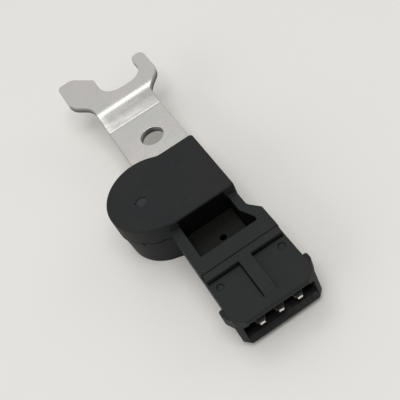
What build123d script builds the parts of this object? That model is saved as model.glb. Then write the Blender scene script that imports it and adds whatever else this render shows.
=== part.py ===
from build123d import *
from math import asin, atan2, cos, degrees, dist, sin, sqrt, tan
import os

# Camshaft position sensor: a hall-effect sensor moulded round a joggled steel bracket.
# Sizes are in millimetres. The origin is on the bolt hole's axis, on the bracket's seating
# face, and +Z is up. In the places named below, x is counted from the middle blade of the
# plug and y from the plug's mouth towards the fork.

# Bracket
sheet = 2.0
plate_left_x = -8.85
plate_right_x = 8.6
bolt_hole_x = 0.6
bolt_hole_y = 66.9
bolt_hole_diameter = 6.7
tongue_end_y = 48.0
tongue_notch = 3.0
tongue_hole_diameter = 3.2
tongue_hole_spread = 9.6
joggle_start_y = 77.5
joggle_run = 6.7
joggle_rise = 2.5
bend_radius = 2.4

# Fork at the bracket's end
fork_left_x = -14.1
fork_right_x = 13.9
left_shoulder_y = 88.9
right_shoulder_y = 82.9
shoulder_radius = 7.0
notch_left_x = -3.45
notch_right_x = 9.7
notch_bottom_y = 89.75
notch_lip_y = 100.1
notch_radii = (5.6, 4.8)
finger_end_y = 100.0
arm_end_y = 112.0
arm_end_radius = 3.5

# Head
disc_radius = 12.1
disc_x = -9.1
disc_y = 44.6
slab_left_x = -8.7
slab_right_x = 8.6
slab_before_disc = 0.75
slab_behind_middle = 10.0
head_above_sheet = 4.3
head_height = 14.5
head_draft = 3.2
head_wave_radius = 4.0
slab_edge_radius = 0.5
slab_front_corner = 0.5
slab_back_corner = 1.0
seam_step = 0.2
seam_height = 1.1
seam_reach = 3.0
seam_overrun = 2.0
seam_groove_width = 0.3
seam_groove_depth = 0.3
gate_mark_x = -12.3
gate_mark_y = 43.4
gate_mark_radius = 1.6
gate_mark_depth = 0.15

# Neck with its open pocket
panel_drop = 2.7
neck_right_x = 8.2
neck_right_into_slab = 1.75
neck_left_into_disc = 4.25
flare_front_y = 23.1
flare_back_y = 26.4
pocket_left_x = -8.0
pocket_right_x = 5.9
pocket_near_y = 20.7
pocket_flare_x = 7.8
pocket_flare_y = 21.9
pocket_flare_end_y = 26.0

# Plug shroud
shroud_width = 21.4
shroud_height = 8.8
shroud_wall = 1.35
shroud_lip_radius = 0.8
socket_depth = 16.0
socket_corner = 1.6
socket_lead_in = 1.05
corner_cut_top = (2.8, 2.3)
corner_cut_bottom = (1.6, 1.6)
tee_height = 1.2
tee_bar_front_y = 13.8
tee_bar_back_y = 16.05
tee_bar_width = 20.6
tee_stem_width = 3.3
tee_toe_y = 2.4
tee_toe_slope = 1.8
witness_line = 0.3
lug_reach = 1.2
lug_front_y = 2.8
lug_ramp = 2.5
lug_back_y = 7.0
lug_drop = 0.9
lug_height = 3.6
ejector_mark_x = 8.4
ejector_mark_y = 11.4
ejector_mark_radius = 0.9
ejector_mark_depth = 0.2

# Terminals
blade_pitch = 5.0
blade_width = 2.8
blade_thickness = 0.8
blade_tip_y = 0.3
blade_tip_taper = 0.8
blade_tip_length = 1.8
blade_tip_bevel = 0.25
blade_end_y = 18.5
strip_start_y = 21.5
strip_middle_x = -0.6
strip_pitch = 3.8
strip_width = 1.8
tail_y = 36.0
tail_size = 0.8
tail_past_board = 0.8

# Carrier of the terminals
carrier_above_blades = 0.7
carrier_below_blades = 1.2
carrier_front_y = 17.5
carrier_right_x = 5.5
carrier_past_tails = 11.0
core_pin_x = -0.6
core_pin_y = 25.4
core_pin_diameter = 1.8
core_pin_tip_diameter = 1.0
peg_diameter = 1.2
peg_past_board = 0.3

# Board
board_thickness = 1.0
board_left_x = -6.2
board_right_x = 5.3
board_before_tails = 1.8
board_to_holder = 0.5
solder_height = 0.6
tail_hole_radius = 0.65
tail_pad_radius = 1.1
lead_hole_radius = 0.35
case_length = 2.0
case_width = 1.25
cap_length = 0.45
cap_proud = 0.05
capacitor_height = 0.9
resistor_height = 0.55

# Sensing stack under the disc's middle
sensing_wall = 1.0
chip_length = 3.1
chip_width = 4.1
chip_thickness = 1.5
holder_radius = 4.0
holder_web = 0.4
holder_ring_wall = 1.8
magnet_radius = 3.0
pole_thickness = 0.8
lead_size = 0.4
lead_pitch = 1.27
lead_bend_radius = 0.5
lead_hole_x = -3.7

# Levels, worked out from the sizes above
head_top = sheet + head_above_sheet
head_bottom = head_top - head_height
panel_top = head_top - panel_drop
shroud_top = panel_top - tee_height
shroud_bottom = shroud_top - shroud_height
socket_top = shroud_top - shroud_wall
socket_bottom = shroud_bottom + shroud_wall
blade_bottom = (socket_top + socket_bottom - blade_thickness) / 2
blade_top = blade_bottom + blade_thickness
carrier_top = blade_top + carrier_above_blades
carrier_bottom = blade_bottom - carrier_below_blades
board_bottom = carrier_bottom - board_thickness
chip_bottom = head_bottom + sensing_wall
chip_top = chip_bottom + chip_thickness
magnet_bottom = chip_top + holder_web
magnet_top = carrier_top - pole_thickness
fork_top = sheet + joggle_rise

# Places worked out in the same way
half_shroud = shroud_width / 2
slab_front_y = disc_y - disc_radius - slab_before_disc
slab_back_y = disc_y + slab_behind_middle
neck_right_end_y = slab_front_y + neck_right_into_slab
neck_left_end_y = slab_front_y + neck_left_into_disc
board_front_y = tail_y - board_before_tails
carrier_end_y = tail_y + carrier_past_tails
peg_places = [(-2.4, tail_y + 2.6), (3.6, carrier_end_y - 1.6)]
lead_places = [(lead_hole_x, disc_y + place * lead_pitch) for place in (-1, 0, 1)]
tail_places = [(strip_middle_x + place * strip_pitch, tail_y) for place in (-1, 0, 1)]

os.makedirs("parts", exist_ok=True)


def level(height):
    """Plan at a height: x from the middle blade, y from the plug's mouth."""
    return Plane(origin=(-bolt_hole_x, -bolt_hole_y, height))


def side_view(x):
    """View from the right at a distance from the middle blade: y from the mouth, then height."""
    return Plane(origin=(x - bolt_hole_x, -bolt_hole_y, 0), x_dir=(0, 1, 0), z_dir=(1, 0, 0))


def mouth_view(y):
    """View into the plug at a distance from its mouth: x from the middle blade, then height."""
    return Plane(origin=(-bolt_hole_x, y - bolt_hole_y, 0), x_dir=(1, 0, 0), z_dir=(0, -1, 0))


def save(piece, name):
    """Labels a finished piece and writes its file."""
    piece.part.label = name
    export_step(piece.part, f"parts/{name}.step")


def head_outline(inset):
    """Outline of the head: a disc that runs on to the right as a straight-sided slab."""
    # The slab's front left corner runs on along a tangent of the disc
    corner_distance = dist((disc_x, disc_y), (slab_left_x, slab_front_y))
    tangent_length = sqrt(corner_distance**2 - disc_radius**2)
    tangent_angle = atan2(disc_y - slab_front_y, disc_x - slab_left_x) + asin(disc_radius / corner_distance)
    tangent_x = slab_left_x + tangent_length * cos(tangent_angle)
    tangent_y = slab_front_y + tangent_length * sin(tangent_angle)
    with BuildSketch() as outline:
        with Locations((disc_x, disc_y)):
            Circle(disc_radius)
        with BuildLine():
            Polyline(
                (tangent_x, tangent_y),
                (slab_left_x, slab_front_y),
                (slab_right_x, slab_front_y),
                (slab_right_x, slab_back_y),
                (slab_left_x, slab_back_y),
                (disc_x, disc_y),
                close=True,
            )
        make_face()
        corners = outline.vertices().group_by(Axis.X)[-1]
        fillet(corners.sort_by(Axis.Y)[0], radius=slab_front_corner)
        corners = outline.vertices().group_by(Axis.Y)[-1]
        fillet(corners.sort_by(Axis.X)[-1], radius=slab_back_corner)
        wave_x = disc_x + sqrt(disc_radius**2 - (slab_back_y - disc_y) ** 2)
        wave = outline.vertices().sort_by_distance((wave_x, slab_back_y))[0]
        fillet(wave, radius=head_wave_radius)
        if inset > 0:
            offset(amount=-inset, kind=Kind.INTERSECTION)
    return outline.sketch


# Mounting bracket: one stamping, joggled up to the fork
shift = sheet * tan(atan2(joggle_rise, joggle_run) / 2)
joggle_end_y = joggle_start_y + joggle_run
outer_bend = bend_radius + sheet
finger_radius = (fork_right_x - notch_right_x) / 2 - 0.02

with BuildPart() as mounting_bracket:
    with BuildSketch(side_view(fork_left_x - 1)):
        with BuildLine():
            FilletPolyline(
                (tongue_end_y, sheet),
                (joggle_start_y, sheet),
                (joggle_end_y, fork_top),
                (arm_end_y, fork_top),
                (arm_end_y, joggle_rise),
                (joggle_end_y + shift, joggle_rise),
                (joggle_start_y + shift, 0),
                (tongue_end_y, 0),
                radius=[0, bend_radius, outer_bend, 0, 0, bend_radius, outer_bend, 0],
                close=True,
            )
        make_face()
    extrude(amount=fork_right_x - fork_left_x + 2)
    with BuildSketch(level(0)):
        with BuildLine():
            FilletPolyline(
                (plate_left_x + tongue_notch, tongue_end_y),
                (plate_left_x + tongue_notch, tongue_end_y + tongue_notch),
                (plate_left_x, tongue_end_y + tongue_notch),
                (plate_left_x, left_shoulder_y),
                (fork_left_x, left_shoulder_y + plate_left_x - fork_left_x),
                (fork_left_x, arm_end_y),
                (notch_left_x, notch_lip_y),
                (notch_left_x, notch_bottom_y),
                (notch_right_x, notch_bottom_y),
                (notch_right_x, finger_end_y),
                (fork_right_x, finger_end_y),
                (fork_right_x, right_shoulder_y + fork_right_x - plate_right_x),
                (plate_right_x, right_shoulder_y),
                (plate_right_x, tongue_end_y + tongue_notch),
                (plate_right_x - tongue_notch, tongue_end_y + tongue_notch),
                (plate_right_x - tongue_notch, tongue_end_y),
                radius=[0.5, 0.8, 0.5, shoulder_radius, shoulder_radius, arm_end_radius, 0.6]
                + [*notch_radii, finger_radius, finger_radius]
                + [shoulder_radius - 1, 2.0, 0.5, 0.8, 0.5],
                close=True,
            )
        make_face()
        with Locations((bolt_hole_x, bolt_hole_y)):
            Circle(bolt_hole_diameter / 2, mode=Mode.SUBTRACT)
        with Locations((0, tongue_end_y + tongue_notch)):
            with GridLocations(tongue_hole_spread, 1, 2, 1):
                Circle(tongue_hole_diameter / 2, mode=Mode.SUBTRACT)
    extrude(amount=fork_top, mode=Mode.INTERSECT)
save(mounting_bracket, "mounting_bracket")

# Terminals: a bevelled blade, a neck to a narrower strip, and a tail down through the board
terminals = {}
for place, name in ((-1, "supply_terminal"), (0, "ground_terminal"), (1, "signal_terminal")):
    blade_x = place * blade_pitch
    strip_x = strip_middle_x + place * strip_pitch
    half_blade = blade_width / 2
    half_tip = half_blade - blade_tip_taper
    half_strip = strip_width / 2
    with BuildPart() as terminal:
        with BuildSketch(level(blade_bottom)):
            with BuildLine():
                Polyline(
                    (blade_x - half_tip, blade_tip_y),
                    (blade_x + half_tip, blade_tip_y),
                    (blade_x + half_blade, blade_tip_y + blade_tip_length),
                    (blade_x + half_blade, blade_end_y),
                    (strip_x + half_strip, strip_start_y),
                    (strip_x + half_strip, tail_y + tail_size / 2),
                    (strip_x - half_strip, tail_y + tail_size / 2),
                    (strip_x - half_strip, strip_start_y),
                    (blade_x - half_blade, blade_end_y),
                    (blade_x - half_blade, blade_tip_y + blade_tip_length),
                    close=True,
                )
            make_face()
        extrude(amount=blade_thickness)
        with BuildSketch(side_view(blade_x - half_blade)):
            with BuildLine():
                Polyline(
                    (blade_tip_y, blade_bottom),
                    (blade_tip_y, blade_bottom + blade_tip_bevel),
                    (blade_tip_y + blade_tip_length, blade_bottom),
                    close=True,
                )
            make_face()
            with BuildLine():
                Polyline(
                    (blade_tip_y, blade_top),
                    (blade_tip_y, blade_top - blade_tip_bevel),
                    (blade_tip_y + blade_tip_length, blade_top),
                    close=True,
                )
            make_face()
        extrude(amount=blade_width, mode=Mode.SUBTRACT)
        with BuildSketch(level(blade_bottom)):
            with Locations((strip_x, tail_y)):
                Rectangle(tail_size, tail_size)
        extrude(amount=-(blade_bottom - board_bottom + tail_past_board))
        # The core pin's tip holds the middle strip in the first mould
        if place == 0:
            with BuildSketch(level(blade_bottom)):
                with Locations((core_pin_x, core_pin_y)):
                    Circle(core_pin_tip_diameter / 2)
            extrude(amount=blade_thickness, mode=Mode.SUBTRACT)
    terminals[name] = terminal
    save(terminal, name)

# Magnet holder: a cup for the magnet, with the chip let into its underside
with BuildPart() as magnet_holder:
    with BuildSketch(level(chip_bottom)):
        with Locations((disc_x, disc_y)):
            Circle(holder_radius)
    extrude(amount=carrier_top - chip_bottom)
    with BuildSketch(level(magnet_bottom)):
        with Locations((disc_x, disc_y)):
            Circle(magnet_radius)
    extrude(amount=carrier_top - magnet_bottom, mode=Mode.SUBTRACT)
    with BuildSketch(level(chip_bottom)):
        with Locations((disc_x - chip_length / 2, disc_y)):
            Rectangle(chip_length + holder_radius, chip_width, align=(Align.MIN, Align.CENTER))
    extrude(amount=chip_thickness, mode=Mode.SUBTRACT)
save(magnet_holder, "magnet_holder")

with BuildPart() as bias_magnet:
    with BuildSketch(level(magnet_bottom)):
        with Locations((disc_x, disc_y)):
            Circle(magnet_radius)
    extrude(amount=magnet_top - magnet_bottom)
save(bias_magnet, "bias_magnet")

with BuildPart() as pole_piece:
    with BuildSketch(level(magnet_top)):
        with Locations((disc_x, disc_y)):
            Circle(magnet_radius)
    extrude(amount=pole_thickness)
save(pole_piece, "pole_piece")

# Hall chip: its body lies behind the sensing face, with three legs out to the right
with BuildPart() as hall_package:
    with BuildSketch(level(chip_bottom)):
        with Locations((disc_x, disc_y)):
            Rectangle(chip_length, chip_width)
    extrude(amount=chip_thickness)
save(hall_package, "hall_package")

leads = {}
lead_level = chip_bottom + chip_thickness / 2
for place, name in ((-1, "hall_supply_lead"), (0, "hall_ground_lead"), (1, "hall_signal_lead")):
    with BuildPart() as lead:
        with BuildSketch(mouth_view(disc_y + place * lead_pitch)):
            with BuildLine():
                FilletPolyline(
                    (disc_x + chip_length / 2, lead_level),
                    (lead_hole_x, lead_level),
                    (lead_hole_x, carrier_bottom),
                    radius=lead_bend_radius,
                )
            trace(line_width=lead_size)
        extrude(amount=lead_size / 2, both=True)
    leads[name] = lead
    save(lead, name)

# Terminal carrier: the first moulding, with a ring for the magnet holder and pegs for the board
with BuildPart() as terminal_carrier:
    with BuildSketch(level(carrier_bottom)) as carrier_plan:
        with Locations((pocket_left_x, carrier_front_y)):
            Rectangle(
                carrier_right_x - pocket_left_x,
                carrier_end_y - carrier_front_y,
                align=(Align.MIN, Align.MIN),
            )
        fillet(carrier_plan.vertices().group_by(Axis.X)[-1], radius=1.5)
        with Locations((disc_x, disc_y)):
            Circle(holder_radius + holder_ring_wall)
            Circle(holder_radius, mode=Mode.SUBTRACT)
    extrude(amount=carrier_top - carrier_bottom)
    with BuildSketch(level(carrier_bottom)):
        with Locations(*peg_places):
            Circle(peg_diameter / 2)
    extrude(amount=-(board_thickness + peg_past_board))
    with BuildSketch(level(blade_top)):
        with Locations((core_pin_x, core_pin_y)):
            Circle(core_pin_diameter / 2)
    extrude(amount=carrier_above_blades, mode=Mode.SUBTRACT)
    for terminal in terminals.values():
        add(terminal.part, mode=Mode.SUBTRACT)
    with BuildSketch(level(carrier_bottom)):
        with Locations((core_pin_x, core_pin_y)):
            Circle(core_pin_tip_diameter / 2)
    extrude(amount=blade_top - carrier_bottom, mode=Mode.SUBTRACT)
save(terminal_carrier, "terminal_carrier")

# Circuit board under the carrier, cut round the magnet holder
with BuildPart() as circuit_board:
    with BuildSketch(level(board_bottom)):
        with Locations((board_left_x, board_front_y)):
            Rectangle(
                board_right_x - board_left_x,
                carrier_end_y - board_front_y,
                align=(Align.MIN, Align.MIN),
            )
        with Locations((disc_x, disc_y)):
            Circle(holder_radius + board_to_holder, mode=Mode.SUBTRACT)
        with Locations(*tail_places):
            Circle(tail_hole_radius, mode=Mode.SUBTRACT)
        with Locations(*lead_places):
            Circle(lead_hole_radius, mode=Mode.SUBTRACT)
        with Locations(*peg_places):
            Circle(peg_diameter / 2, mode=Mode.SUBTRACT)
    extrude(amount=board_thickness)
save(circuit_board, "circuit_board")


def solder_joints(places, hole_radius, pad_radius, pins):
    """Solder that fills each hole of the board and rises in a cone round the pin below it."""
    slope = degrees(atan2(pad_radius - hole_radius, solder_height)) * 0.8
    with BuildPart() as joints:
        with BuildSketch(level(board_bottom)):
            with Locations(*places):
                Circle(hole_radius)
        extrude(amount=board_thickness)
        with BuildSketch(level(board_bottom)):
            with Locations(*places):
                Circle(pad_radius)
        extrude(amount=-solder_height, taper=slope)
        for pin in pins:
            add(pin.part, mode=Mode.SUBTRACT)
    return joints


terminal_solder = solder_joints(tail_places, tail_hole_radius, tail_pad_radius, terminals.values())
save(terminal_solder, "terminal_solder_joints")
lead_solder = solder_joints(lead_places, lead_hole_radius, 0.47 * lead_pitch, leads.values())
save(lead_solder, "lead_solder_joints")

# Parts on the board's underside, each a body with slightly proud end caps
chips = {}
for name, place, height in (
    ("supply_capacitor", (0.2, tail_y + 4.6), capacitor_height),
    ("signal_capacitor", (0.2, tail_y + 7.4), capacitor_height),
    ("series_resistor", (3.6, tail_y + 4.6), resistor_height),
):
    with BuildPart() as chip:
        with BuildSketch(level(board_bottom)):
            with Locations(place):
                Rectangle(case_width, case_length)
        extrude(amount=-height)
        with BuildSketch(level(board_bottom)):
            with Locations(place):
                with GridLocations(1, case_length - cap_length + 2 * cap_proud, 1, 2):
                    Rectangle(case_width + 2 * cap_proud, cap_length)
        extrude(amount=-height - cap_proud)
    chips[name] = chip
    save(chip, name)

# Outer housing: the second moulding, round everything above
with BuildPart() as upper_head:
    with BuildSketch(level(seam_height - seam_reach)):
        add(head_outline(0))
    extrude(amount=head_top - seam_height + seam_reach)
    fillet(upper_head.edges().group_by(Axis.Z)[-1], radius=slab_edge_radius)
    # The parting line wanders along the disc and runs level on the slab
    seam_left = (disc_x - disc_radius - seam_overrun, seam_height - 1.0)
    seam_right = (slab_right_x + seam_overrun, seam_height)
    seam_waves = [(-0.9, -0.8), (-0.7, 0.4), (-0.48, -0.2), (-0.29, 0.3), (-0.13, -0.3)]
    seam_waves += [(0.08, -0.6), (0.42, 0)]
    seam_points = [(disc_x + x * disc_radius, seam_height + z) for x, z in seam_waves]
    with BuildSketch(mouth_view(disc_y - disc_radius - seam_overrun)):
        with BuildLine():
            Spline(seam_left, *seam_points, seam_right)
            Polyline(
                seam_right,
                (seam_right[0], head_top + seam_overrun),
                (seam_left[0], head_top + seam_overrun),
                seam_left,
            )
        make_face()
    extrude(amount=-2 * (disc_radius + seam_overrun), mode=Mode.INTERSECT)

# Fine groove along the underside of the parting line
with BuildPart() as seam_groove:
    add(upper_head.part.moved(Location((0, 0, -seam_groove_width))))
    add(upper_head.part, mode=Mode.SUBTRACT)
    with BuildSketch(level(seam_height - seam_reach - seam_groove_width)):
        add(head_outline(seam_step + seam_groove_depth))
    extrude(amount=head_top - seam_height + seam_reach, mode=Mode.SUBTRACT)

with BuildPart() as outer_housing:
    with BuildSketch(level(seam_height + 1)):
        add(head_outline(seam_step))
    extrude(amount=-(seam_height + 1 - head_bottom), taper=head_draft)
    add(upper_head.part)
    add(seam_groove.part, mode=Mode.SUBTRACT)

    # Neck and shroud, flush on the left and flared out on the right
    with BuildSketch(level(shroud_bottom)):
        with BuildLine():
            FilletPolyline(
                (-half_shroud, 0),
                (half_shroud, 0),
                (half_shroud, flare_front_y),
                (neck_right_x, flare_back_y),
                (neck_right_x, neck_right_end_y),
                (-half_shroud, neck_left_end_y),
                radius=[0, 0, 0.6, 2.5, 0, 0],
                close=True,
            )
        make_face()
    extrude(amount=shroud_height)
    lip = outer_housing.edges().group_by(Axis.Y)[0].sort_by(Axis.Z)[-1]
    fillet(lip, radius=shroud_lip_radius)

    # Raised panel behind the tee, up to the slab
    with BuildSketch(level(shroud_top)):
        with BuildLine():
            FilletPolyline(
                (-half_shroud, tee_bar_back_y),
                (half_shroud, tee_bar_back_y),
                (half_shroud, flare_front_y),
                (neck_right_x, flare_back_y),
                (neck_right_x, neck_right_end_y),
                (-half_shroud, neck_left_end_y),
                radius=[0, 0, 0.6, 2.5, 0, 0],
                close=True,
            )
        make_face()
    extrude(amount=tee_height)

    # Raised tee on the shroud: its bar, and its stem with a sloped toe
    with BuildSketch(level(shroud_top)):
        with Locations((0, tee_bar_front_y)):
            Rectangle(
                tee_bar_width,
                tee_bar_back_y - tee_bar_front_y,
                align=(Align.CENTER, Align.MIN),
            )
    extrude(amount=tee_height)
    with BuildSketch(side_view(0)):
        with BuildLine():
            Polyline(
                (tee_toe_y, shroud_top),
                (tee_toe_y + tee_toe_slope, panel_top),
                (tee_bar_front_y, panel_top),
                (tee_bar_front_y, shroud_top),
                close=True,
            )
        make_face()
    extrude(amount=tee_stem_width / 2, both=True)
    with BuildSketch(level(panel_top - witness_line)):
        with Locations((0, tee_bar_back_y)):
            Rectangle(shroud_width, witness_line)
    extrude(amount=witness_line, mode=Mode.SUBTRACT)

    # Lugs on both sides for the plug's wire latch
    for hand in (-1, 1):
        with BuildSketch(level(shroud_top - lug_drop - lug_height)):
            with BuildLine():
                FilletPolyline(
                    (hand * (half_shroud - 0.5), lug_front_y),
                    (hand * half_shroud, lug_front_y),
                    (hand * (half_shroud + lug_reach), lug_front_y + lug_ramp),
                    (hand * (half_shroud + lug_reach), lug_back_y),
                    (hand * (half_shroud - 0.5), lug_back_y),
                    radius=[0, 0.3, 0.8, 0.6, 0],
                    close=True,
                )
            make_face()
        extrude(amount=lug_height)

    # Front corners, cut back more at the top than at the bottom
    for hand in (-1, 1):
        for height, cut in ((shroud_top, corner_cut_top), (shroud_bottom, corner_cut_bottom)):
            with BuildSketch(level(height)):
                with BuildLine():
                    Polyline(
                        (hand * half_shroud, cut[1]),
                        (hand * (half_shroud - cut[0]), 0),
                        (hand * (half_shroud - cut[0]), -1),
                        (hand * (half_shroud + 1), -1),
                        (hand * (half_shroud + 1), cut[1]),
                        close=True,
                    )
                make_face()
        loft(mode=Mode.SUBTRACT)

    # Plug socket
    with BuildSketch(mouth_view(0)) as socket:
        with Locations((0, (socket_top + socket_bottom) / 2)):
            Rectangle(shroud_width - 2 * shroud_wall, socket_top - socket_bottom)
        chamfer(socket.vertices().group_by(Axis.Y)[-1], length=socket_corner)
    extrude(amount=-socket_depth, mode=Mode.SUBTRACT)
    with BuildSketch(side_view(0)):
        with BuildLine():
            Polyline(
                (0, socket_bottom),
                (0, socket_bottom - socket_lead_in),
                (socket_lead_in, socket_bottom),
                close=True,
            )
        make_face()
    extrude(amount=half_shroud - shroud_wall, both=True, mode=Mode.SUBTRACT)

    # Pocket that shows the carrier
    with BuildSketch(level(carrier_bottom)):
        with BuildLine():
            FilletPolyline(
                (pocket_left_x, pocket_near_y),
                (pocket_flare_x, pocket_near_y),
                (pocket_flare_x, pocket_flare_y),
                (pocket_right_x, pocket_flare_end_y),
                (pocket_right_x, slab_front_y),
                (pocket_left_x, slab_front_y),
                radius=[0, 0.5, 0.4, 1.2, 0, 0],
                close=True,
            )
        make_face()
    extrude(amount=head_top - carrier_bottom, mode=Mode.SUBTRACT)

    # Moulding marks
    with BuildSketch(level(shroud_top - ejector_mark_depth)):
        with Locations((-ejector_mark_x, ejector_mark_y), (ejector_mark_x, ejector_mark_y)):
            Circle(ejector_mark_radius)
    extrude(amount=ejector_mark_depth, mode=Mode.SUBTRACT)
    with BuildSketch(level(head_top - gate_mark_depth)):
        with Locations((gate_mark_x, gate_mark_y)):
            Circle(gate_mark_radius)
    extrude(amount=gate_mark_depth, mode=Mode.SUBTRACT)

    # Everything that the moulding wraps
    wrapped = [mounting_bracket, terminal_carrier, circuit_board, hall_package, magnet_holder]
    wrapped += [bias_magnet, pole_piece, terminal_solder, lead_solder]
    wrapped += [*terminals.values(), *leads.values(), *chips.values()]
    for piece in wrapped:
        add(piece.part, mode=Mode.SUBTRACT)
save(outer_housing, "outer_housing")
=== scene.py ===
from bisect import bisect
from functools import reduce
from math import cos, pi, radians, sin

import bmesh
import bpy
from bpy.props import FloatProperty, FloatVectorProperty, PointerProperty
from mathutils import Matrix, Vector
from mathutils.bvhtree import BVHTree


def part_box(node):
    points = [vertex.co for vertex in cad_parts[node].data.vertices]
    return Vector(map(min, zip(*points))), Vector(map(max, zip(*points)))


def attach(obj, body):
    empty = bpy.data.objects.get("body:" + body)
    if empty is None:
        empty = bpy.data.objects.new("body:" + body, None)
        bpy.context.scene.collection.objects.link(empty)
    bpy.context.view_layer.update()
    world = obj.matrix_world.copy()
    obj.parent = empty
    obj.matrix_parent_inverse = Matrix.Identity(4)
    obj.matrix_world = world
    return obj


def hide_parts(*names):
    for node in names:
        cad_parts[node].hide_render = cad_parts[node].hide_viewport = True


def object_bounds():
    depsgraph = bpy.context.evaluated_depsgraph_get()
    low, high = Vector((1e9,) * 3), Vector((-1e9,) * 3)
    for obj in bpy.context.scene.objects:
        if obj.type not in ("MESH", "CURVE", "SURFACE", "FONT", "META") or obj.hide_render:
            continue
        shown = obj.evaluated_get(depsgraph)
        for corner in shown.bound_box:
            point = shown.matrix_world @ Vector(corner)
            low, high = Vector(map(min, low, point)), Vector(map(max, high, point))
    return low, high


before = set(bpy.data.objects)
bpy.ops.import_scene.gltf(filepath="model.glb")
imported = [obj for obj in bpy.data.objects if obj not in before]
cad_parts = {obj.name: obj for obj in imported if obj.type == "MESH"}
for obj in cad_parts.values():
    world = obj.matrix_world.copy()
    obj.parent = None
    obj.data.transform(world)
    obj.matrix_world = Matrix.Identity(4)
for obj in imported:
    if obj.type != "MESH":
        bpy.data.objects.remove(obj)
cad_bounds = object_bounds()

# Finishes and studio for a camshaft position sensor: a dark moulded body on a zinc-plated bracket.
# Sizes are in metres. The origin is on the bolt hole's axis, on the bracket's underside.

bl_info = {
    "name": "Camshaft position sensor",
    "version": (1, 0, 0),
    "blender": (4, 5, 0),
    "location": "View3D > Sidebar > Sensor",
    "description": "Rounds the sensor's edges, gives its pieces their finishes and lights it",
    "category": "Object",
}

MM = 0.001
BODY = "root"
BOLT_HOLE = (0.6, 66.9)


def spot(x, y, z):
    """A place in millimetres from the middle blade, the plug's mouth and the sheet's underside."""
    return Vector(((x - BOLT_HOLE[0]) * MM, (y - BOLT_HOLE[1]) * MM, z * MM))


# The moulding's marks, and the light and shade painted on it. A box of painted shade has the width
# of its soft edges behind its two corners
PAINTED_SHADE_BOXES = (
    # Walls of the pocket, painted with shade
    (spot(-8.2, 20.5, -1.2), spot(6.1, 32.0, 3.42), 0.12 * MM),
    (spot(5.9, 20.5, -1.2), spot(8.0, 26.3, 3.42), 0.15 * MM),
    (spot(-8.0, 31.4, 3.0), spot(5.5, 32.3, 5.75), 0.15 * MM),
    # Inside of the socket, painted with shade
    (spot(-10.0, 3.0, -5.7), spot(10.0, 17.2, 1.7), 0.5 * MM),
    # Corners at the foot of the tee, painted with shade
    (spot(-1.9, 2.9, 2.3), spot(-1.6, 13.8, 3.1), 0.06 * MM),
    (spot(-10.3, 13.5, 2.3), spot(-1.65, 13.82, 2.75), 0.06 * MM),
    (spot(1.65, 13.45, 2.3), spot(10.3, 13.82, 2.9), 0.06 * MM),
)
# Nicks, painted with shade inside
MOULD_NICKS = ((spot(-13.9, 44.2, 6.3), 0.35 * MM), (spot(-17.75, 36.2, 0.15), 0.65 * MM))
NICK_SOFTNESS = 0.2 * MM
GATE_MARK = spot(-12.3, 43.4, 6.2)
GATE_REACH = 1.5 * MM
GATE_SOFTNESS = 0.4 * MM
# Ejector marks, each with a ring of painted shade
EJECTOR_MARKS = (spot(-8.4, 11.4, 2.3), spot(8.4, 11.4, 2.3))
EJECTOR_RADIUS = 0.9 * MM
EJECTOR_RING = (EJECTOR_RADIUS - 0.05 * MM, EJECTOR_RADIUS + 0.2 * MM)
RING_SOFTNESS = 0.15 * MM
# A line of painted shadow just below the parting line, on the head's wall
SEAM_OPENS = 0.05 * MM
SEAM_CLOSES = (0.55 * MM, 0.7 * MM)
SEAM_WAVER = (-0.05 * MM, 0.06 * MM)
SEAM_HEIGHT = 2 * MM
HEAD_FRONT = spot(0, 31.5, 0).y
# Painted sheen, paler towards the plug's end
PLUG_SHEEN_SPAN = (spot(0, 10, 0).y, spot(0, 32, 0).y)
# A painted warm reflection on the floor of the plug's mouth, with lit patches that grow towards the
# right
MOUTH_FLOOR = (spot(-9.0, -0.5, -5.6), spot(9.6, 5.0, -4.4))
MOUTH_SOFTNESS = 0.8 * MM
MOUTH_LIGHT_SPAN = (-5 * MM, 7 * MM)

# The bracket
SHEET = 2.0 * MM
JOGGLE_START = spot(0, 77.5, 0).y
JOGGLE_RUN = 6.7 * MM
SHEET_DEPTH_START = JOGGLE_START + 0.2 * MM
BEND_REACH = 1.5 * MM
BEND_DEPTH = 1.2 * MM
BEND_CUTS = 6
ARM_END = spot(-10.6, 102.84, 0)
ARM_END_RADIUS = 3.5 * MM
ARM_END_PLAY = 0.05 * MM
ARM_END_POWER = 5.0
# Painted sheen and streaks on the joggle's slope, and painted shade on its lower bend
SLOPE = (spot(-9.0, 77.9, 1.0), spot(9.9, 83.4, 5.0))
SLOPE_SOFTNESS = 0.4 * MM
SLOPE_LEFT_END = (SLOPE[0].x + 0.2 * MM, SLOPE[0].x + 2.2 * MM)
SLOPE_FOOT = (SLOPE[0].y + 0.8 * MM, SLOPE[0].y + 2.8 * MM)
LOWER_BEND = (spot(-11.0, 76.9, 1.0), spot(11.0, 77.7, 5.0))
LOWER_BEND_SOFTNESS = 0.25 * MM

# The blades
BLADE_TIPS = spot(0, 0.35, 0).y
# Painted shade on the blades, from just behind their tips
BLADE_SHADE_SPAN = (spot(0, 1.7, 0).y, spot(0, 2.5, 0).y)
STRIPS_START = spot(0, 19.0, 0).y
PLATING_ENDS = (STRIPS_START, STRIPS_START + 0.5 * MM)
HALF_BLADE = 0.4 * MM
TIP_GROWTH = 1.4

# The pieces inside, and the stretch of the fine lines on drawn and on cast metal
CHIP_EPOXY = (0.015, 0.015, 0.016)
CHIP_CAPS = (0.7, 0.69, 0.66)
CAP_LENGTH = 0.5 * MM
CAPACITOR_CERAMIC = (0.36, 0.24, 0.13)
RESISTOR_COAT = (0.03, 0.03, 0.035)
LEAD_TIN = (0.66, 0.65, 0.62)
SOLDER = (0.62, 0.62, 0.6)
NICKEL = (0.5, 0.48, 0.44)
SOFT_STEEL = (0.4, 0.4, 0.41)
HOLDER_NYLON = (0.05, 0.048, 0.045)
DRAWN = (1.0, 0.05, 1.0)
CAST = (1.0, 1.0, 1.0)

# The Mix node's sockets for colours
MIXED_COLOURS = (6, 7)
MIXED_RESULT = 2

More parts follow.
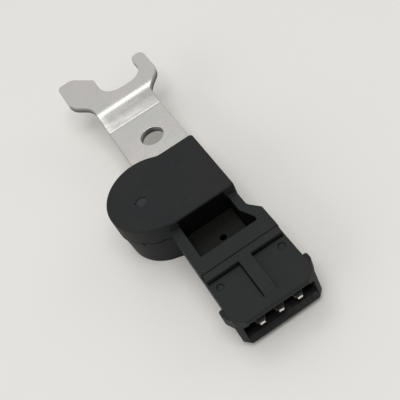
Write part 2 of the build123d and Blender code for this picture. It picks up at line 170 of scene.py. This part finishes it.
# Limits for reading, cutting and rounding the meshes. CLOSED_STEP and ROOM_BESIDE are shares of a
# rounding's radius
SAME_PLACE = 0.0005 * MM
CUT_PLAY = 0.0001 * MM
FLAT_ANGLE = radians(0.5)
SHARP_ANGLE = radians(28)
CREASE_ANGLE = radians(40)
WALL_SLANT = 0.35
UPRIGHT = 0.1
FACES_DOWN = -0.6
PARALLEL = 0.9
CLOSED_STEP = 0.62
ROOM_BESIDE = 1.3
SIGHT_START = 0.02 * MM

# The studio. A lamp has its turn to the right of the fork and its height in degrees, its size
# in metres and its brightness
LAMPS = {
    "back_panel": (0, 36, (1.4, 0.5), 0.49),
    "high_strip": (-2, 62, (0.55, 0.36), 1.95),
    "roof_panel": (0, 92, (1.0, 0.7), 0.45),
    "front_strip": (180, 70, (0.8, 0.32), 3.3),
    "left_panel": (-100, 28, (1.0, 0.5), 1.3),
    "right_panel": (90, 28, (0.8, 0.4), 0.7),
}
LAMP_DISTANCE = 1.0
SKY_GREY = (0.9, 0.9, 0.9, 1.0)
FLOOR_REACH = 4.0
FLOOR_GAP = 0.02 * MM
FILM_WIDTH = 36
CLIPPING = (0.01, 20)


class SensorEdges(bpy.types.PropertyGroup):
    """How far each kind of piece is rounded along its edges"""

    moulding: FloatProperty(
        name="Moulding",
        description="Radius of the outer moulding's edges",
        default=0.16 * MM,
        unit="LENGTH",
    )
    stamping: FloatProperty(
        name="Stamping",
        description="Radius that the press leaves on the bracket's edges",
        default=0.16 * MM,
        unit="LENGTH",
    )
    blade: FloatProperty(
        name="Blade",
        description="Radius of the terminals' edges",
        default=0.05 * MM,
        unit="LENGTH",
    )
    carrier: FloatProperty(
        name="Carrier",
        description="Radius of the terminal carrier's edges",
        default=0.1 * MM,
        unit="LENGTH",
    )


class SensorColours(bpy.types.PropertyGroup):
    """Colours of the sensor's pieces"""

    housing: FloatVectorProperty(
        name="Housing",
        description="Glass-filled nylon of the outer moulding",
        default=(0.0212, 0.0228, 0.0227),
        subtype="COLOR",
    )
    carrier: FloatVectorProperty(
        name="Carrier",
        description="Nylon of the terminal carrier, a little browner",
        default=(0.0085, 0.0083, 0.0072),
        subtype="COLOR",
    )
    zinc: FloatVectorProperty(
        name="Zinc",
        description="Zinc plating of the bracket",
        default=(0.59, 0.58, 0.56),
        subtype="COLOR",
    )
    tin: FloatVectorProperty(
        name="Tin",
        description="Tin plating of the blades",
        default=(0.95, 0.93, 0.89),
        subtype="COLOR",
    )
    brass: FloatVectorProperty(
        name="Brass",
        description="Dull brass of the strips behind the blades",
        default=(0.02, 0.017, 0.013),
        subtype="COLOR",
    )
    laminate: FloatVectorProperty(
        name="Board",
        description="Solder mask of the circuit board",
        default=(0.02, 0.16, 0.06),
        subtype="COLOR",
    )


class SensorStudio(bpy.types.PropertyGroup):
    """Camera, lamps and floor"""

    eye: FloatVectorProperty(
        name="Eye",
        description="Where the camera stands",
        default=(-15.37 * MM, -145.93 * MM, 131.69 * MM),
        subtype="TRANSLATION",
        unit="LENGTH",
    )
    heading: FloatProperty(
        name="Heading",
        description="Turn of the camera to the right of the plug's axis",
        default=radians(7.3257),
        subtype="ANGLE",
    )
    pitch: FloatProperty(
        name="Pitch",
        description="How far the camera looks down",
        default=radians(47.9509),
        subtype="ANGLE",
    )
    roll: FloatProperty(
        name="Roll",
        description="How far the camera leans to the right",
        default=radians(28.0372),
        subtype="ANGLE",
    )
    lens: FloatProperty(
        name="Lens",
        description="Focal length in millimetres on a 36 mm sensor",
        default=62.96,
    )
    floor: FloatVectorProperty(
        name="Floor",
        description="Colour of the floor",
        default=(0.885, 0.868, 0.83),
        subtype="COLOR",
    )
    sky: FloatProperty(
        name="Sky",
        description="Strength of the even light from all round",
        default=0.35,
    )


class Finish:
    """A material's node tree, with short ways to add nodes and join them."""

    def __init__(self, name):
        self.material = bpy.data.materials.new(name)
        self.material.use_nodes = True
        self.tree = self.material.node_tree
        self.shader = self.tree.nodes["Principled BSDF"]
        self.place = self.node("ShaderNodeTexCoord").outputs["Object"]

    def node(self, kind, inputs=None, **settings):
        """Adds a node, with its settings and its inputs as numbers or as other nodes' outputs."""
        made = self.tree.nodes.new(kind)
        for key, value in settings.items():
            setattr(made, key, value)
        for socket, value in (inputs or {}).items():
            self.feed(made, socket, value)
        return made

    def feed(self, node, socket, value):
        """Sets a socket to a value, or joins it to an output."""
        if isinstance(value, bpy.types.NodeSocket):
            self.tree.links.new(value, node.inputs[socket])
        else:
            node.inputs[socket].default_value = value

    def shade(self, **inputs):
        """Sets inputs of the shader, named as on the node, with _ for a space."""
        for key, value in inputs.items():
            self.feed(self.shader, key.replace("_", " "), value)

    def axis(self, name):
        """The piece's own coordinate along X, Y or Z."""
        return self.node("ShaderNodeSeparateXYZ", {0: self.place}).outputs[name]

    def kept(self, name):
        """A value that the mesh keeps under this name."""
        return self.node("ShaderNodeAttribute", attribute_name=name).outputs["Fac"]

    def stretched(self, scale):
        """The piece's own coordinates, scaled by axis."""
        mapping = self.node("ShaderNodeMapping", {"Vector": self.place, "Scale": scale})
        return mapping.outputs["Vector"]

    def noise(self, size, detail=2.0, roughness=0.5, place=None):
        """Noise with features of about this size."""
        inputs = {"Vector": place or self.place, "Scale": 1 / size, "Detail": detail}
        inputs["Roughness"] = roughness
        return self.node("ShaderNodeTexNoise", inputs).outputs["Fac"]

    def span(self, value, low, high, to_low=0.0, to_high=1.0):
        """Maps a range of a value to another, clamped."""
        inputs = {"Value": value, "From Min": low, "From Max": high}
        inputs.update({"To Min": to_low, "To Max": to_high})
        return self.node("ShaderNodeMapRange", inputs).outputs["Result"]

    def maths(self, operation, first, second=0.0):
        """What an operation makes of one value or of two."""
        return self.node("ShaderNodeMath", {0: first, 1: second}, operation=operation).outputs[0]

    def times(self, first, second):
        """The product of two values."""
        return self.maths("MULTIPLY", first, second)

    def most(self, first, second):
        """The greater of two values."""
        return self.maths("MAXIMUM", first, second)

    def blend(self, share, first, second, how="MIX"):
        """Mixes two colours, or multiplies one by the other."""
        mixed = self.node("ShaderNodeMix", {0: share}, data_type="RGBA", blend_type=how)
        for socket, colour in zip(MIXED_COLOURS, (first, second)):
            self.feed(mixed, socket, (*colour, 1.0) if isinstance(colour, tuple) else colour)
        return mixed.outputs[MIXED_RESULT]

    def within(self, low, high, soft):
        """One inside a box of the piece's own coordinates, fading to nought over its edges."""
        axes = self.node("ShaderNodeSeparateXYZ", {0: self.place}).outputs
        inside = None
        for axis, start, end in zip(axes, low, high):
            rising = self.span(axis, start - soft, start + soft)
            falling = self.span(axis, end - soft, end + soft, 1.0, 0.0)
            band = self.times(rising, falling)
            inside = self.times(inside, band) if inside else band
        return inside

    def near(self, point, reach, soft):
        """One within reach of a point, fading to nought over the last of it."""
        inputs = {0: self.place, 1: point}
        away = self.node("ShaderNodeVectorMath", inputs, operation="DISTANCE").outputs["Value"]
        return self.span(away, reach - soft, reach, 1.0, 0.0)

    def bump(self, height, distance, strength=1.0, normal=None):
        """Bump from a height, as deep as the distance."""
        inputs = {"Height": height, "Distance": distance, "Strength": strength}
        if normal:
            inputs["Normal"] = normal
        return self.node("ShaderNodeBump", inputs).outputs["Normal"]


def tinted(colour, factor, shift=(1.0, 1.0, 1.0)):
    """A colour made lighter or darker, with a slight shift of hue."""
    return tuple(c * factor * s for c, s in zip(colour, shift))


def plug_painted_light(finish, tone, colour):
    """Paints sheen that pales the plug's end, and a warm reflection with lit patches on the floor
    of its mouth.
    """
    painted_sheen = finish.span(finish.axis("Y"), *PLUG_SHEEN_SPAN, 0.2, 0.0)
    tone = finish.blend(painted_sheen, tone, tinted(colour, 1.7))
    mouth = finish.within(*MOUTH_FLOOR, MOUTH_SOFTNESS)
    tone = finish.blend(mouth, tone, tinted(colour, 0.5, (1.3, 0.95, 0.97)))
    # Painted lit patches on the mouth's floor
    lit_patches = finish.span(finish.noise(2.6 * MM, 3.0), 0.42, 0.7)
    lit_patches = finish.times(lit_patches, finish.span(finish.axis("X"), *MOUTH_LIGHT_SPAN, 0.2, 1.0))
    lit_patches = finish.times(lit_patches, mouth)
    return finish.blend(lit_patches, tone, tinted(colour, 3.0, (1.08, 0.98, 0.95)))


def painted_shade_places(finish):
    """One where shade is painted, in the recesses, nicks, ejectors' rings and seam; nought
    elsewhere.
    """
    places = [finish.within(*box) for box in PAINTED_SHADE_BOXES]
    places += [finish.near(nick, reach, NICK_SOFTNESS) for nick, reach in MOULD_NICKS]
    for mark in EJECTOR_MARKS:
        inner, outer = (finish.near(mark, reach, RING_SOFTNESS) for reach in EJECTOR_RING)
        places.append(finish.times(finish.maths("SUBTRACT", outer, inner), 0.7))
    below = finish.kept("seam_depth")
    waver = finish.span(finish.noise(1.6 * MM, 2.0), 0.35, 0.65, *SEAM_WAVER)
    opened = finish.span(below, 0.0, SEAM_OPENS)
    closed = finish.span(finish.maths("ADD", below, waver), *SEAM_CLOSES, 1.0, 0.0)
    places.append(finish.times(opened, closed))
    return reduce(finish.most, places)


def moulded_plastic(name, colour, texture_depth, rough, marks_and_painted_light=False):
    """Matt nylon with a fine spark-eroded texture, faint flow clouds and rubbed patches.

    The outer moulding is marked: a pale gate mark, painted sheen on the plug, a painted reflection
    in its mouth and painted shade in hollows and the seam.
    """
    finish = Finish(name)
    clouds = finish.noise(9 * MM, 3.0)
    roughness = finish.span(clouds, 0.3, 0.7, rough - 0.04, rough + 0.05)
    cool = tinted(colour, 0.93, (0.95, 1.0, 1.05))
    warm = tinted(colour, 1.07, (1.04, 0.99, 0.97))
    tone = finish.blend(finish.span(clouds, 0.35, 0.65), cool, warm)
    wear_and_sheen = finish.span(finish.noise(2.2 * MM, 4.0, 0.6), 0.58, 0.72)
    tone = finish.blend(finish.times(wear_and_sheen, 0.35), tone, tinted(colour, 1.5))
    if marks_and_painted_light:
        # Painted sheen on the plug's end, and a painted warm reflection on its mouth's floor
        tone = plug_painted_light(finish, tone, colour)
        gate = finish.times(finish.near(GATE_MARK, GATE_REACH, GATE_SOFTNESS), 0.8)
        tone = finish.blend(gate, tone, tinted(colour, 1.7, (1.0, 1.0, 1.08)))
        # Shade painted near-black, and made rough, in the recesses, nicks, ejector rings and seam
        dark = painted_shade_places(finish)
        tone = finish.blend(dark, tone, tinted(colour, 0.04, (1.2, 0.9, 0.9)))
        roughness = finish.most(roughness, finish.times(dark, 0.95))
    grain = finish.noise(0.11 * MM, 2.0)
    waves = finish.noise(3.5 * MM, 1.0)
    normal = finish.bump(waves, 0.03 * MM, 0.25)
    normal = finish.bump(grain, texture_depth, 0.5, normal)
    finish.shade(
        Base_Color=tone,
        Roughness=roughness,
        Specular_IOR_Level=0.13,
        Normal=normal,
    )
    return finish.material


def joggle_painted_light(finish, tone, colour):
    """Paints sheen on the joggle's slope, brightest along its foot and left end and dimmer to the
    right, darker streaks of painted reflection across it, and painted shade on its lower bend.
    """
    on_slope = finish.within(*SLOPE, SLOPE_SOFTNESS)
    shine = finish.span(finish.axis("X"), SLOPE[0].x, SLOPE[1].x, 1.02, 0.8)
    shine = finish.times(shine, finish.span(finish.axis("X"), *SLOPE_LEFT_END, 1.5, 1.0))
    shine = finish.times(shine, finish.span(finish.axis("Y"), *SLOPE_FOOT, 1.42, 1.0))
    tone = finish.blend(on_slope, tone, shine, "MULTIPLY")
    # Painted shade on the lower bend, which tones down its highlight
    lower_bend = finish.within(*LOWER_BEND, LOWER_BEND_SOFTNESS)
    tone = finish.blend(lower_bend, tone, tinted(colour, 0.75))
    # Darker streaks of painted reflection across the slope
    streaks = finish.noise(1.7 * MM, 3.0, 0.55, finish.stretched((0.2, 1.0, 0.4)))
    wear_and_sheen = finish.times(finish.span(streaks, 0.46, 0.7, 0.0, 0.55), on_slope)
    return finish.blend(wear_and_sheen, tone, tinted(colour, 0.68))


def zinc_plating(name, colour):
    """Satin zinc on rolled sheet: faint rolling lines, cloudy tints, small pits."""
    finish = Finish(name)
    clouds = finish.noise(7 * MM, 3.0)
    pink = tinted(colour, 1.0, (1.02, 0.985, 0.98))
    green = tinted(colour, 0.98, (0.98, 1.0, 0.985))
    tone = finish.blend(finish.span(clouds, 0.38, 0.62), pink, green)
    blotch = finish.noise(1.3 * MM, 4.0, 0.65, finish.stretched((0.6, 1.0, 1.0)))
    tone = finish.blend(finish.span(blotch, 0.55, 0.8, 0.0, 0.35), tone, tinted(colour, 0.62))
    pits = finish.node("ShaderNodeTexVoronoi", {"Vector": finish.place, "Scale": 1 / (2.6 * MM)})
    pit = finish.span(pits.outputs["Distance"], 0.035, 0.075, 1.0, 0.0)
    tone = finish.blend(finish.times(pit, 0.55), tone, tinted(colour, 0.3))
    # Painted sheen, streaks and shade on the joggle
    tone = joggle_painted_light(finish, tone, colour)
    lines = finish.noise(0.12 * MM, 2.0, 0.5, finish.stretched((1.0, 0.06, 1.0)))
    crystals = finish.noise(0.25 * MM, 2.0)
    normal = finish.bump(finish.noise(4 * MM, 2.0), 0.04 * MM, 0.35)
    normal = finish.bump(crystals, 0.004 * MM, 0.25, normal)
    normal = finish.bump(lines, 0.003 * MM, 0.35, normal)
    normal = finish.bump(finish.span(pit, 0.0, 1.0, 1.0, 0.0), 0.015 * MM, 0.6, normal)
    finish.shade(
        Base_Color=tone,
        Metallic=1.0,
        Roughness=finish.span(blotch, 0.4, 0.75, 0.21, 0.32),
        Normal=normal,
    )
    return finish.material


def sheared_edge(name, colour):
    """The stamped sheet's edge: smooth near the punch, torn and duller below."""
    finish = Finish(name)
    lines = finish.noise(0.14 * MM, 3.0, 0.6, finish.stretched((1.0, 1.0, 0.08)))
    ragged = finish.maths("ADD", finish.kept("sheet_depth"), finish.times(lines, 0.25))
    torn = finish.span(ragged, 0.62, 0.78, 1.0, 0.0)
    finish.shade(
        Base_Color=finish.blend(torn, tinted(colour, 0.55), tinted(colour, 0.3)),
        Metallic=1.0,
        Roughness=finish.span(torn, 0.0, 1.0, 0.34, 0.55),
        Normal=finish.bump(lines, 0.03 * MM, 0.5),
    )
    return finish.material


def plated_metal(name, colour, rough, along=DRAWN, bare=None):
    """Bright plating over drawn or cast metal, with fine lines along it.

    A blade is painted with shade behind its tip, where the shroud's shadow falls. It is plated up
    to its strip, which keeps the bare colour.
    """
    finish = Finish(name)
    lines = finish.noise(0.09 * MM, 3.0, 0.6, finish.stretched(along))
    clouds = finish.noise(0.9 * MM, 3.0)
    tone = finish.blend(finish.span(clouds, 0.4, 0.75), colour, tinted(colour, 0.7))
    if bare:
        # Painted shade behind the tip
        tip_shade = finish.span(finish.axis("Y"), *BLADE_SHADE_SPAN)
        tone = finish.blend(tip_shade, tone, tinted(colour, 0.3, (1.0, 1.0, 0.9)))
        tone = finish.blend(finish.span(finish.axis("Y"), *PLATING_ENDS), tone, bare)
    finish.shade(
        Base_Color=tone,
        Metallic=1.0,
        Roughness=finish.span(clouds, 0.3, 0.7, rough, rough + 0.12),
        Normal=finish.bump(lines, 0.008 * MM, 0.4),
    )
    return finish.material


def plain_grain(name, colour, rough, grain_size, metallic=0.0):
    """A solid colour with a grain of its own, for the pieces inside."""
    finish = Finish(name)
    grain = finish.noise(grain_size, 3.0)
    tone = finish.blend(finish.span(grain, 0.35, 0.65), tinted(colour, 0.85), tinted(colour, 1.12))
    finish.shade(
        Base_Color=tone,
        Metallic=metallic,
        Roughness=rough,
        Normal=finish.bump(grain, 0.01 * MM, 0.4),
    )
    return finish.material


def end_capped(name, body, centre_y, half_body):
    """A chip component's body colour, with tinned ends beyond half_body from its middle."""
    finish = Finish(name)
    away = finish.maths("ABSOLUTE", finish.maths("SUBTRACT", finish.axis("Y"), centre_y))
    cap = finish.maths("GREATER_THAN", away, half_body)
    grain = finish.noise(0.08 * MM, 2.0)
    finish.shade(
        Base_Color=finish.blend(cap, body, CHIP_CAPS),
        Metallic=cap,
        Roughness=finish.span(grain, 0.3, 0.7, 0.3, 0.45),
        Normal=finish.bump(grain, 0.006 * MM, 0.4),
    )
    return finish.material


def merged_copy(node):
    """A copy of a node's mesh, its loose triangles joined into whole faces."""
    shape = bmesh.new()
    shape.from_mesh(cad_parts[node].data)
    bmesh.ops.remove_doubles(shape, verts=shape.verts, dist=SAME_PLACE)
    bmesh.ops.dissolve_limit(
        shape,
        angle_limit=FLAT_ANGLE,
        verts=shape.verts,
        edges=shape.edges,
        use_dissolve_boundaries=False,
    )
    return shape


def open_to_view(tree, edge):
    """True if a straight line leads from an outer edge to the open."""
    middle = (edge.verts[0].co + edge.verts[1].co) / 2
    out = (edge.link_faces[0].normal + edge.link_faces[1].normal).normalized()
    up, forward = Vector((0, 0, 1)), Vector((0, 1, 0))
    sight_lines = [out, up, -forward, forward, up - forward]
    sight_lines += [(out + up).normalized(), (out - up).normalized()]
    start = middle + out * SIGHT_START
    return any(tree.ray_cast(start, line)[0] is None for line in sight_lines if line.length > 0)


def has_room(edge, radius):
    """True if no short edge stands beside this one that its rounding would run over."""
    for vert in edge.verts:
        along = (edge.other_vert(vert).co - vert.co).normalized()
        for other in vert.link_edges:
            away = other.other_vert(vert).co - vert.co
            runs_on = abs(away.normalized().dot(along)) >= PARALLEL
            if not runs_on and away.length < ROOM_BESIDE * radius:
                return False
    return True


def round_edges(shape, radius, segments):
    """Rounds the outer edges that can be seen, once steps too fine for the radius are closed."""
    bmesh.ops.remove_doubles(shape, verts=shape.verts, dist=CLOSED_STEP * radius)
    tree = BVHTree.FromBMesh(shape)
    sharp = [
        edge
        for edge in shape.edges
        if edge.is_manifold
        and edge.is_convex
        and edge.calc_face_angle() > SHARP_ANGLE
        and open_to_view(tree, edge)
        and has_room(edge, radius)
    ]
    bmesh.ops.bevel(
        shape,
        geom=sharp,
        offset=radius,
        offset_type="OFFSET",
        affect="EDGES",
        segments=segments,
        profile=0.5,
        material=-1,
        clamp_overlap=False,
    )


def seam_line(shape):
    """The height of the parting line at each x, along the lower edge of the head's upper half."""
    line = {}
    for edge in shape.edges:
        if edge.is_manifold and edge.is_convex and abs(edge.verts[0].co.z) < SEAM_HEIGHT:
            under, wall = sorted(edge.link_faces, key=lambda face: face.normal.z)
            if under.normal.z < FACES_DOWN and abs(wall.normal.z) < UPRIGHT:
                line.update((vert.co.x, vert.co.z) for vert in edge.verts)
    return line


def note_seam_depth(shape):
    """Keeps how far each corner of the head's wall lies below the parting line."""
    line = seam_line(shape)
    places = sorted(line)
    depth = shape.loops.layers.float.new("seam_depth")
    for face in shape.faces:
        in_head = all(vert.co.y > HEAD_FRONT for vert in face.verts)
        on_wall = in_head and abs(face.normal.z) < WALL_SLANT
        for corner in face.loops:
            corner[depth] = -1.0
            if on_wall:
                x, z = corner.vert.co.x, corner.vert.co.z
                right = min(max(bisect(places, x), 1), len(places) - 1)
                start, end = places[right - 1], places[right]
                share = (x - start) / (end - start)
                corner[depth] = line[start] + share * (line[end] - line[start]) - z


def note_sheet_depth(shape, rise):
    """Keeps how high each point lies in the sheet, from nought below to one on top."""
    depth = shape.verts.layers.float.new("sheet_depth")
    for vert in shape.verts:
        along = min(max((vert.co.y - SHEET_DEPTH_START) / JOGGLE_RUN, 0.0), 1.0)
        vert[depth] = (vert.co.z - rise * along) / SHEET


def ease_bend(shape, bend_y, slope, top):
    """Widens the bend at the top of the joggle's slope, as a press leaves it."""
    for cut in range(-BEND_CUTS, BEND_CUTS + 1):
        bmesh.ops.bisect_plane(
            shape,
            geom=[*shape.verts, *shape.edges, *shape.faces],
            dist=CUT_PLAY,
            plane_co=(0, bend_y + BEND_REACH * cut / BEND_CUTS, 0),
            plane_no=(0, 1, 0),
        )
    for vert in shape.verts:
        past = vert.co.y - bend_y
        if abs(past) <= BEND_REACH and vert.co.z > top - BEND_DEPTH:
            vert.co.z = top - slope * (BEND_REACH - past) ** 2 / (4 * BEND_REACH)


def fill_arm_end(shape):
    """Squares the round end of the fork's longer arm, out to the same reach."""
    power = ARM_END_POWER
    for vert in shape.verts:
        out = Vector((vert.co.x - ARM_END.x, vert.co.y - ARM_END.y, 0))
        if out.x <= 0 <= out.y and abs(out.length - ARM_END_RADIUS) < ARM_END_PLAY:
            out.normalize()
            across = (abs(out.x) ** power + abs(out.y) ** power) ** (1 / power)
            vert.co += out * ARM_END_RADIUS * (1 / across - 1)


def finished_piece(name, shape, materials, node):
    """Makes the object that stands for a node, with smooth faces and hard corners."""
    for face in shape.faces:
        face.smooth = True
    for edge in shape.edges:
        edge.smooth = edge.is_manifold and edge.calc_face_angle() < CREASE_ANGLE
    mesh = bpy.data.meshes.new(name)
    shape.to_mesh(mesh)
    shape.free()
    for material in materials:
        mesh.materials.append(material)
    piece = bpy.data.objects.new(name, mesh)
    bpy.context.scene.collection.objects.link(piece)
    weighted = piece.modifiers.new("Even shading", "WEIGHTED_NORMAL")
    weighted.keep_sharp = True
    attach(piece, BODY)
    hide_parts(node)
    return piece


def paint(node, material):
    """Gives a node that keeps its own mesh its finish."""
    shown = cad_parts[node]
    shown.data.materials.clear()
    shown.data.materials.append(material)


class SENSOR_OT_housing(bpy.types.Operator):
    """Rounds the outer moulding's edges and gives it its matt nylon"""

    bl_idname = "sensor.housing"
    bl_label = "Housing"

    def execute(self, context):
        shape = merged_copy("outer_housing")
        note_seam_depth(shape)
        round_edges(shape, context.scene.sensor_edges.moulding, segments=3)
        colour = tuple(context.scene.sensor_colours.housing)
        plastic = moulded_plastic(
            "housing_nylon", colour, texture_depth=0.012 * MM, rough=0.56, marks_and_painted_light=True
        )
        finished_piece("moulded_housing", shape, [plastic], "outer_housing")
        return {"FINISHED"}


class SENSOR_OT_bracket(bpy.types.Operator):
    """Rounds the bracket's stamped edges and plates it with zinc"""

    bl_idname = "sensor.bracket"
    bl_label = "Bracket"

    def execute(self, context):
        shape = merged_copy("mounting_bracket")
        low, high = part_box("mounting_bracket")
        rise = high.z - low.z - SHEET
        ease_bend(shape, JOGGLE_START + JOGGLE_RUN, rise / JOGGLE_RUN, high.z)
        fill_arm_end(shape)
        round_edges(shape, context.scene.sensor_edges.stamping, segments=3)
        note_sheet_depth(shape, rise)
        for face in shape.faces:
            face.material_index = 1 if abs(face.normal.z) < WALL_SLANT else 0
        colour = tuple(context.scene.sensor_colours.zinc)
        materials = [zinc_plating("zinc", colour), sheared_edge("sheared_edge", colour)]
        finished_piece("zinc_bracket", shape, materials, "mounting_bracket")
        return {"FINISHED"}


class SENSOR_OT_carrier(bpy.types.Operator):
    """Finishes the terminal carrier, the pocket's floor"""

    bl_idname = "sensor.carrier"
    bl_label = "Terminal carrier"

    def execute(self, context):
        shape = merged_copy("terminal_carrier")
        round_edges(shape, context.scene.sensor_edges.carrier, segments=2)
        colour = tuple(context.scene.sensor_colours.carrier)
        plastic = moulded_plastic("carrier_nylon", colour, texture_depth=0.006 * MM, rough=0.5)
        finished_piece("moulded_carrier", shape, [plastic], "terminal_carrier")
        return {"FINISHED"}


class SENSOR_OT_terminals(bpy.types.Operator):
    """Rounds the three blades' edges and tins them"""

    bl_idname = "sensor.terminals"
    bl_label = "Terminals"

    def execute(self, context):
        colours = context.scene.sensor_colours
        tin, brass = tuple(colours.tin), tuple(colours.brass)
        plating = plated_metal("tinned_brass", tin, rough=0.27, bare=brass)
        for line in ("supply", "ground", "signal"):
            node = line + "_terminal"
            shape = merged_copy(node)
            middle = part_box(node)[1].z - HALF_BLADE
            for vert in shape.verts:
                if vert.co.y < BLADE_TIPS:
                    vert.co.z += TIP_GROWTH * (vert.co.z - middle)
            round_edges(shape, context.scene.sensor_edges.blade, segments=2)
            finished_piece(line + "_blade", shape, [plating], node)
        return {"FINISHED"}


class SENSOR_OT_electronics(bpy.types.Operator):
    """Finishes the board and what is soldered to it"""

    bl_idname = "sensor.electronics"
    bl_label = "Electronics"

    def execute(self, context):
        mask = tuple(context.scene.sensor_colours.laminate)
        laminate = plain_grain("solder_mask", mask, rough=0.35, grain_size=0.3 * MM)
        paint("circuit_board", laminate)
        epoxy = plain_grain("chip_epoxy", CHIP_EPOXY, rough=0.5, grain_size=0.1 * MM)
        paint("hall_package", epoxy)
        lead_tin = plated_metal("tinned_lead", LEAD_TIN, rough=0.28)
        for line in ("supply", "ground", "signal"):
            paint(f"hall_{line}_lead", lead_tin)
        solder = plated_metal("solder", SOLDER, rough=0.18, along=CAST)
        for joints in ("terminal_solder_joints", "lead_solder_joints"):
            paint(joints, solder)
        chips = {
            "supply_capacitor": (CAPACITOR_CERAMIC, "capacitor_ceramic"),
            "signal_capacitor": (CAPACITOR_CERAMIC, "capacitor_ceramic"),
            "series_resistor": (RESISTOR_COAT, "resistor_film"),
        }
        for node, (body, slot) in chips.items():
            low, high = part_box(node)
            centre_y = (low.y + high.y) / 2
            half_body = (high.y - low.y) / 2 - CAP_LENGTH
            paint(node, end_capped(node + "_finish", body, centre_y, half_body))
        return {"FINISHED"}


class SENSOR_OT_sensing_stack(bpy.types.Operator):
    """Finishes the magnet, its pole piece and their holder"""

    bl_idname = "sensor.sensing_stack"
    bl_label = "Magnet and holder"

    def execute(self, context):
        nickel = plated_metal("nickel", NICKEL, rough=0.2, along=CAST)
        paint("bias_magnet", nickel)
        steel = plain_grain("soft_steel", SOFT_STEEL, rough=0.42, grain_size=0.2 * MM, metallic=1.0)
        paint("pole_piece", steel)
        holder = moulded_plastic("holder_nylon", HOLDER_NYLON, texture_depth=0.006 * MM, rough=0.5)
        paint("magnet_holder", holder)
        return {"FINISHED"}


def softbox(name, turn, height, size, brightness):
    """A lamp that faces the sensor, turned so far to the right of the fork and so high."""
    light = bpy.data.lights.new(name, "AREA")
    light.shape = "RECTANGLE"
    light.size, light.size_y = size
    light.energy = brightness * pi * size[0] * size[1]
    lamp = bpy.data.objects.new(name, light)
    turn, height = radians(turn), radians(height)
    place = Vector((sin(turn) * cos(height), cos(turn) * cos(height), sin(height)))
    lamp.location = place * LAMP_DISTANCE
    lamp.rotation_euler = (-place).to_track_quat("-Z", "Y").to_euler()
    bpy.context.scene.collection.objects.link(lamp)


def photo_camera(studio):
    """A camera at the photo's place and angle."""
    camera = bpy.data.cameras.new("photo_camera")
    camera.sensor_width = FILM_WIDTH
    camera.lens = studio.lens
    camera.clip_start, camera.clip_end = CLIPPING
    viewer = bpy.data.objects.new("photo_camera", camera)
    across, ahead = sin(studio.heading), cos(studio.heading)
    level, down = cos(studio.pitch), sin(studio.pitch)
    forward = Vector((across * level, ahead * level, -down))
    turn = forward.to_track_quat("-Z", "Y").to_matrix().to_4x4()
    lean = Matrix.Rotation(-studio.roll, 4, "Z")
    viewer.matrix_world = Matrix.Translation(studio.eye) @ turn @ lean
    bpy.context.scene.collection.objects.link(viewer)
    return viewer


def studio_floor(colour, height):
    """A plain pale floor under the sensor's lowest face."""
    shape = bmesh.new()
    bmesh.ops.create_grid(shape, x_segments=1, y_segments=1, size=FLOOR_REACH)
    bmesh.ops.translate(shape, verts=shape.verts, vec=(0, 0, height))
    mesh = bpy.data.meshes.new("studio_floor")
    shape.to_mesh(mesh)
    shape.free()
    finish = Finish("floor_card")
    clouds = finish.noise(300 * MM, 1.0)
    finish.shade(
        Base_Color=finish.blend(clouds, tinted(colour, 0.99), tinted(colour, 1.01)),
        Roughness=0.9,
        Specular_IOR_Level=0.1,
    )
    mesh.materials.append(finish.material)
    floor = bpy.data.objects.new("studio_floor", mesh)
    bpy.context.scene.collection.objects.link(floor)


class SENSOR_OT_stage(bpy.types.Operator):
    """Sets the camera, the lamps and the floor"""

    bl_idname = "sensor.stage"
    bl_label = "Studio"

    def execute(self, context):
        scene = context.scene
        studio = scene.sensor_studio
        scene.camera = photo_camera(studio)
        studio_floor(tuple(studio.floor), cad_bounds[0].z - FLOOR_GAP)
        for name, settings in LAMPS.items():
            softbox(name, *settings)
        world = bpy.data.worlds.new("studio")
        world.use_nodes = True
        background = world.node_tree.nodes["Background"].inputs
        background["Color"].default_value = SKY_GREY
        background["Strength"].default_value = studio.sky
        scene.world = world
        scene.view_settings.view_transform = "Standard"
        return {"FINISHED"}


class SENSOR_PT_panel(bpy.types.Panel):
    """Lists the sensor's pieces and the studio"""

    bl_idname = "SENSOR_PT_panel"
    bl_label = "Camshaft position sensor"
    bl_space_type = "VIEW_3D"
    bl_region_type = "UI"
    bl_category = "Sensor"

    def draw(self, context):
        for settings in PROPERTY_GROUPS:
            box = self.layout.box()
            group = getattr(context.scene, settings)
            for name in group.__annotations__:
                box.prop(group, name)
        for operator in OPERATORS:
            self.layout.operator(operator.bl_idname)


PROPERTY_GROUPS = {
    "sensor_edges": SensorEdges,
    "sensor_colours": SensorColours,
    "sensor_studio": SensorStudio,
}
OPERATORS = (
    SENSOR_OT_stage,
    SENSOR_OT_housing,
    SENSOR_OT_bracket,
    SENSOR_OT_carrier,
    SENSOR_OT_terminals,
    SENSOR_OT_electronics,
    SENSOR_OT_sensing_stack,
)


def register():
    """Makes the settings, the operators and the panel known to Blender."""
    for name, group in PROPERTY_GROUPS.items():
        bpy.utils.register_class(group)
        setattr(bpy.types.Scene, name, PointerProperty(type=group))
    for operator in OPERATORS:
        bpy.utils.register_class(operator)
    bpy.utils.register_class(SENSOR_PT_panel)


def unregister():
    """Takes them out again."""
    bpy.utils.unregister_class(SENSOR_PT_panel)
    for operator in reversed(OPERATORS):
        bpy.utils.unregister_class(operator)
    for name, group in PROPERTY_GROUPS.items():
        delattr(bpy.types.Scene, name)
        bpy.utils.unregister_class(group)


def main():
    """Dresses the sensor."""
    register()
    for operator in OPERATORS:
        getattr(bpy.ops.sensor, operator.bl_idname.split(".")[1])()


if __name__ == "__main__":
    main()
